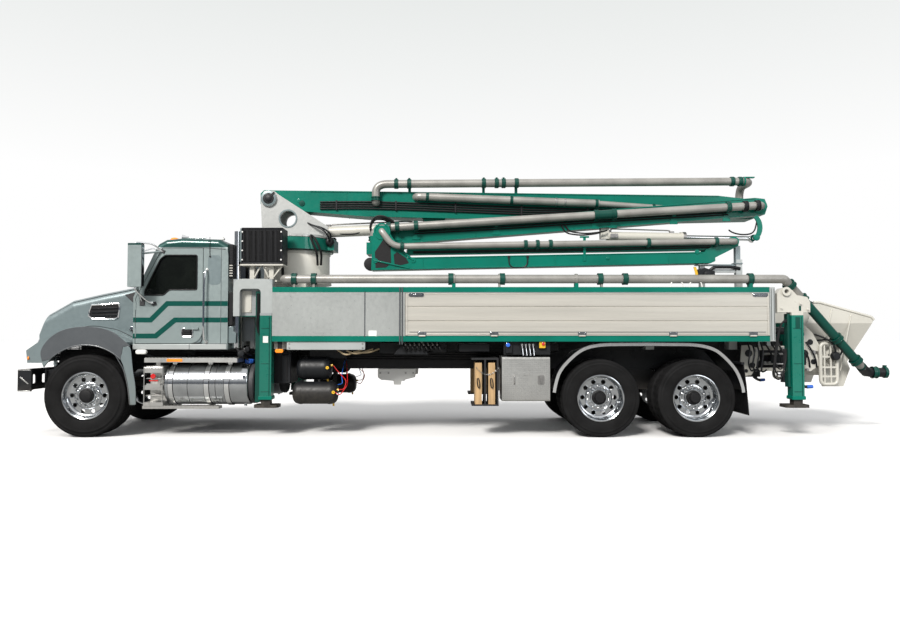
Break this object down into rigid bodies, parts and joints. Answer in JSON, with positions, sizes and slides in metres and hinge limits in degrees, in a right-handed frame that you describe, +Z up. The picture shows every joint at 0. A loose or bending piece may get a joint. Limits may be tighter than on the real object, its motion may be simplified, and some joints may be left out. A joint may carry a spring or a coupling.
{
  "type": "concrete pump truck",
  "caption": "Truck with a rear hopper and piston pump, telescopic outriggers and a slewing boom whose arms fold side by side, carrying a concrete delivery pipe.",
  "frame": {"origin": "on the ground, under the middle of the bounding box", "axes": "+X to the truck's rear, -Y to the driver's side, +Z up"},
  "size_m": [12.25, 2.75, 3.7765],
  "materials": {
    "cab_paint": "silver-grey clear-coated paint",
    "green_paint": "dark emerald gloss paint",
    "black_paint": "satin black chassis paint",
    "cream_paint": "light warm grey paint",
    "pipe_grey": "warm grey painted steel pipe",
    "polished": "polished aluminium",
    "board_aluminium": "ribbed mill-finish aluminium board",
    "tyre_rubber": "road-worn tyre rubber",
    "chrome": "bright chrome",
    "glass": "tinted cab glass",
    "interior": "dark cab trim",
    "cast": "dark cast iron",
    "pad_wood": "bare hardwood pad in a steel rack"
  },
  "bodies": {
    "chassis": {"chassis_frame": "black_paint", "engine": "cast", "cab_shell": "cab_paint", "cab_interior": "interior", "cab_glass": "glass", "cab_steps": "polished", "fuel_tanks": "polished", "air_tanks": "black_paint", "tool_box": "board_aluminium", "outrigger_pads": "pad_wood", "exhaust_stack": "chrome", "oil_cooler": "black_paint", "pedestal": "cream_paint", "deck_body": "cab_paint", "deck_pipe": "pipe_grey", "pump_cell": "green_paint", "hopper": "cream_paint", "rear_fenders": "polished", "axles": "black_paint"},
    "hood": {"hood": "cab_paint", "grille": "chrome"},
    "door_left": {"door_left": "cab_paint"},
    "door_right": {"door_right": "cab_paint"},
    "turret": {"turret": "cab_paint"},
    "luff_barrel": {"luff_barrel": "cream_paint"},
    "luff_rod": {"luff_rod": "chrome"},
    "boom_1": {"boom_1": "green_paint", "pipe_1": "pipe_grey"},
    "boom_2": {"boom_2": "green_paint", "pipe_2": "pipe_grey", "fold_barrel": "cream_paint"},
    "fold_rod": {"fold_rod": "chrome"},
    "boom_3": {"boom_3": "green_paint", "pipe_3": "pipe_grey"},
    "boom_4": {"boom_4": "green_paint"},
    "hopper_grate": {"hopper_grate": "black_paint"},
    "knuckle_left": {"knuckle_left": "cast"},
    "knuckle_right": {"knuckle_right": "cast"},
    "wheel_front_left": {"tyre_front_left": "tyre_rubber", "rim_front_left": "polished"},
    "wheel_front_right": {"tyre_front_right": "tyre_rubber", "rim_front_right": "polished"},
    "wheel_rear_1_left": {"tyre_rear_1_left": "tyre_rubber", "rim_rear_1_left": "polished"},
    "wheel_rear_1_right": {"tyre_rear_1_right": "tyre_rubber", "rim_rear_1_right": "polished"},
    "wheel_rear_2_left": {"tyre_rear_2_left": "tyre_rubber", "rim_rear_2_left": "polished"},
    "wheel_rear_2_right": {"tyre_rear_2_right": "tyre_rubber", "rim_rear_2_right": "polished"},
    "outrigger_front_left": {"outrigger_front_left": "green_paint"},
    "jack_front_left": {"jack_front_left": "black_paint"},
    "outrigger_front_right": {"outrigger_front_right": "green_paint"},
    "jack_front_right": {"jack_front_right": "black_paint"},
    "outrigger_rear_left": {"outrigger_rear_left": "green_paint"},
    "jack_rear_left": {"jack_rear_left": "black_paint"},
    "outrigger_rear_right": {"outrigger_rear_right": "green_paint"},
    "jack_rear_right": {"jack_rear_right": "black_paint"},
    "side_board_left": {"side_board_left": "board_aluminium"},
    "side_board_right": {"side_board_right": "board_aluminium"}
  },
  "joints": [
    {"name": "slew", "type": "hinge", "parent": "chassis", "child": "turret", "pos_m": [-2.525, 0, 2.65], "axis": [0, 0, 1], "range_deg": [-90, 90]},
    {"name": "boom_lift", "type": "hinge", "parent": "turret", "child": "boom_1", "pos_m": [-2.915, 0, 3.445], "axis": [0, -1, 0], "range_deg": [0, 85]},
    {"name": "luff_swing", "type": "hinge", "parent": "turret", "child": "luff_barrel", "pos_m": [-2.2, 0, 2.965], "axis": [0, -1, 0], "range_deg": [0, 89.43]},
    {"name": "luff_stroke", "type": "slide", "parent": "luff_barrel", "child": "luff_rod", "axis": [0.9991, 0, 0.0422], "range_m": [0, 1.1502]},
    {"name": "fold_2", "type": "hinge", "parent": "boom_1", "child": "boom_2", "pos_m": [4.365, -0.41, 3.28], "axis": [0, 1, 0], "range_deg": [0, 180]},
    {"name": "fold_stroke", "type": "slide", "parent": "boom_2", "child": "fold_rod", "axis": [0.9999, 0, -0.0167], "range_m": [0, 0.4]},
    {"name": "fold_3", "type": "hinge", "parent": "boom_2", "child": "boom_3", "pos_m": [-1.142, -0.815, 2.85], "axis": [0, -1, 0], "range_deg": [0, 180]},
    {"name": "fold_4", "type": "hinge", "parent": "boom_3", "child": "boom_4", "pos_m": [3.822, -0.815, 2.704], "axis": [0, 1, 0], "range_deg": [0, 180]},
    {"name": "hood_tilt", "type": "hinge", "parent": "chassis", "child": "hood", "pos_m": [-5.96, 0, 0.96], "axis": [0, -1, 0], "range_deg": [0, 70]},
    {"name": "door_left_swing", "type": "hinge", "parent": "chassis", "child": "door_left", "pos_m": [-4.52, -1.11, 1.9], "axis": [0, 0, -1], "range_deg": [0, 70]},
    {"name": "door_right_swing", "type": "hinge", "parent": "chassis", "child": "door_right", "pos_m": [-4.52, 1.11, 1.9], "axis": [0, 0, 1], "range_deg": [0, 70]},
    {"name": "steer_left", "type": "hinge", "parent": "chassis", "child": "knuckle_left", "pos_m": [-5.149, -0.806, 0.562], "axis": [0, 0, 1], "range_deg": [-35, 35]},
    {"name": "steer_right", "type": "hinge", "parent": "chassis", "child": "knuckle_right", "pos_m": [-5.149, 0.806, 0.562], "axis": [0, 0, 1], "range_deg": [-35, 35]},
    {"name": "wheel_front_left_spin", "type": "hinge", "parent": "knuckle_left", "child": "wheel_front_left", "pos_m": [-5.149, -1.0375, 0.562], "axis": [0, 1, 0], "continuous": true},
    {"name": "wheel_front_right_spin", "type": "hinge", "parent": "knuckle_right", "child": "wheel_front_right", "pos_m": [-5.149, 1.0375, 0.562], "axis": [0, 1, 0], "continuous": true},
    {"name": "wheel_rear_1_left_spin", "type": "hinge", "parent": "chassis", "child": "wheel_rear_1_left", "pos_m": [1.87, -1.0375, 0.53], "axis": [0, 1, 0], "continuous": true},
    {"name": "wheel_rear_1_right_spin", "type": "hinge", "parent": "chassis", "child": "wheel_rear_1_right", "pos_m": [1.87, 1.0375, 0.53], "axis": [0, 1, 0], "continuous": true},
    {"name": "wheel_rear_2_left_spin", "type": "hinge", "parent": "chassis", "child": "wheel_rear_2_left", "pos_m": [3.17, -1.0375, 0.53], "axis": [0, 1, 0], "continuous": true},
    {"name": "wheel_rear_2_right_spin", "type": "hinge", "parent": "chassis", "child": "wheel_rear_2_right", "pos_m": [3.17, 1.0375, 0.53], "axis": [0, 1, 0], "continuous": true},
    {"name": "outrigger_front_left_reach", "type": "slide", "parent": "chassis", "child": "outrigger_front_left", "axis": [0, -1, 0], "range_m": [0, 1.6]},
    {"name": "jack_front_left_drop", "type": "slide", "parent": "outrigger_front_left", "child": "jack_front_left", "axis": [0, 0, -1], "range_m": [0, 0.6]},
    {"name": "outrigger_front_right_reach", "type": "slide", "parent": "chassis", "child": "outrigger_front_right", "axis": [0, 1, 0], "range_m": [0, 1.6]},
    {"name": "jack_front_right_drop", "type": "slide", "parent": "outrigger_front_right", "child": "jack_front_right", "axis": [0, 0, -1], "range_m": [0, 0.6]},
    {"name": "outrigger_rear_left_reach", "type": "slide", "parent": "chassis", "child": "outrigger_rear_left", "axis": [0, -1, 0], "range_m": [0, 1.5]},
    {"name": "jack_rear_left_drop", "type": "slide", "parent": "outrigger_rear_left", "child": "jack_rear_left", "axis": [0, 0, -1], "range_m": [0, 0.6]},
    {"name": "outrigger_rear_right_reach", "type": "slide", "parent": "chassis", "child": "outrigger_rear_right", "axis": [0, 1, 0], "range_m": [0, 1.5]},
    {"name": "jack_rear_right_drop", "type": "slide", "parent": "outrigger_rear_right", "child": "jack_rear_right", "axis": [0, 0, -1], "range_m": [0, 0.6]},
    {"name": "side_board_left_drop", "type": "hinge", "parent": "chassis", "child": "side_board_left", "pos_m": [1.69, -1.262, 1.379], "axis": [1, 0, 0], "range_deg": [0, 170]},
    {"name": "side_board_right_drop", "type": "hinge", "parent": "chassis", "child": "side_board_right", "pos_m": [1.69, 1.262, 1.379], "axis": [-1, 0, 0], "range_deg": [0, 170]},
    {"name": "hopper_grate_lift", "type": "hinge", "parent": "chassis", "child": "hopper_grate", "pos_m": [5.145, 0, 1.87], "axis": [0, -1, 0], "range_deg": [0, 100]}
  ],
  "couplings": [
    {"joint": "luff_swing", "follows": "boom_lift", "ratio": 1.0521},
    {"joint": "luff_stroke", "follows": "boom_lift", "m_per_rad": 0.77529},
    {"joint": "fold_stroke", "follows": "fold_2", "m_per_rad": 0.12732},
    {"joint": "steer_right", "follows": "steer_left", "ratio": 1}
  ]
}
